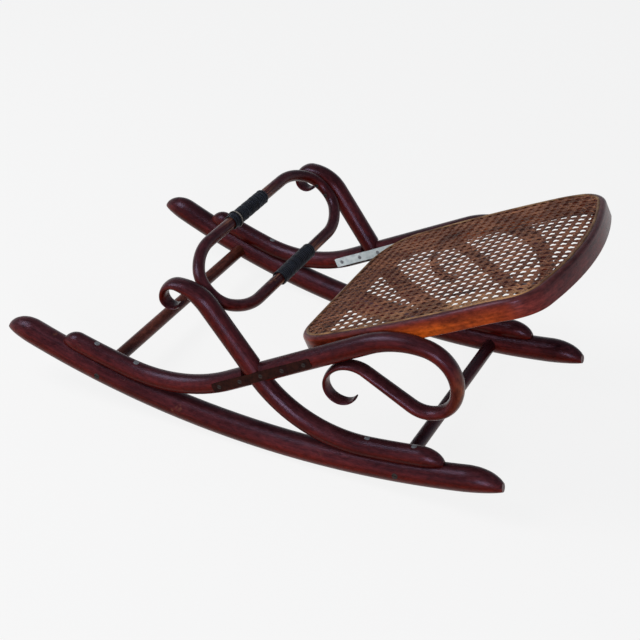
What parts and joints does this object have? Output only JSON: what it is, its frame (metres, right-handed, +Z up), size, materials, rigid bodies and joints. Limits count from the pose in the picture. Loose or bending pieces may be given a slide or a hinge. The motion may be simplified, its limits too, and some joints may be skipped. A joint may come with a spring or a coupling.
{
  "type": "rocking footstool",
  "caption": "Bentwood rocking footstool: a sloping cane seat in a bent rim, carried on scrolled rods over long round rockers, with a cord-whipped handle loop at the low end.",
  "frame": {"origin": "on the floor under the stool's centre of mass, midway between the points where the two rockers touch the floor", "axes": "+X along the rockers from the handle end to the raised end of the seat, +Y from the left side frame to the right one, +Z up"},
  "size_m": [0.8066, 0.4834, 0.3568],
  "materials": {
    "bentwood": "dark red-brown polish, worn on the edges",
    "rim_wood": "red-brown polish, paler along the sides",
    "cane": "aged woven cane, brown, semi-matt",
    "binder_cane": "split cane, tan, semi-gloss",
    "cord": "waxed black cord with a dull shine",
    "rusted_iron": "dark, rusted and matt",
    "zinc_steel": "galvanised, pale grey and dull",
    "screw_steel": "bright steel, a little worn",
    "dark_screw_steel": "darkened steel"
  },
  "bodies": {
    "root": {"left_rocker": "bentwood", "right_rocker": "bentwood", "left_seat_scroll": "bentwood", "right_seat_scroll": "bentwood", "left_handle_scroll": "bentwood", "right_handle_scroll": "bentwood", "front_stretcher": "bentwood", "rear_stretcher": "bentwood", "left_loop_half": "bentwood", "right_loop_half": "bentwood", "front_whipping": "cord", "rear_whipping": "cord", "seat_rim": "rim_wood", "cane_panel": "cane", "cane_binder": "binder_cane", "left_lap_plate": "rusted_iron", "right_lap_plate": "zinc_steel", "left_plate_screws": "dark_screw_steel", "right_plate_screws": "screw_steel", "foot_screws": "screw_steel", "stretcher_screws": "dark_screw_steel", "loop_screws": "dark_screw_steel", "seat_screws": "dark_screw_steel", "curl_screws": "dark_screw_steel"}
  },
  "joints": []
}
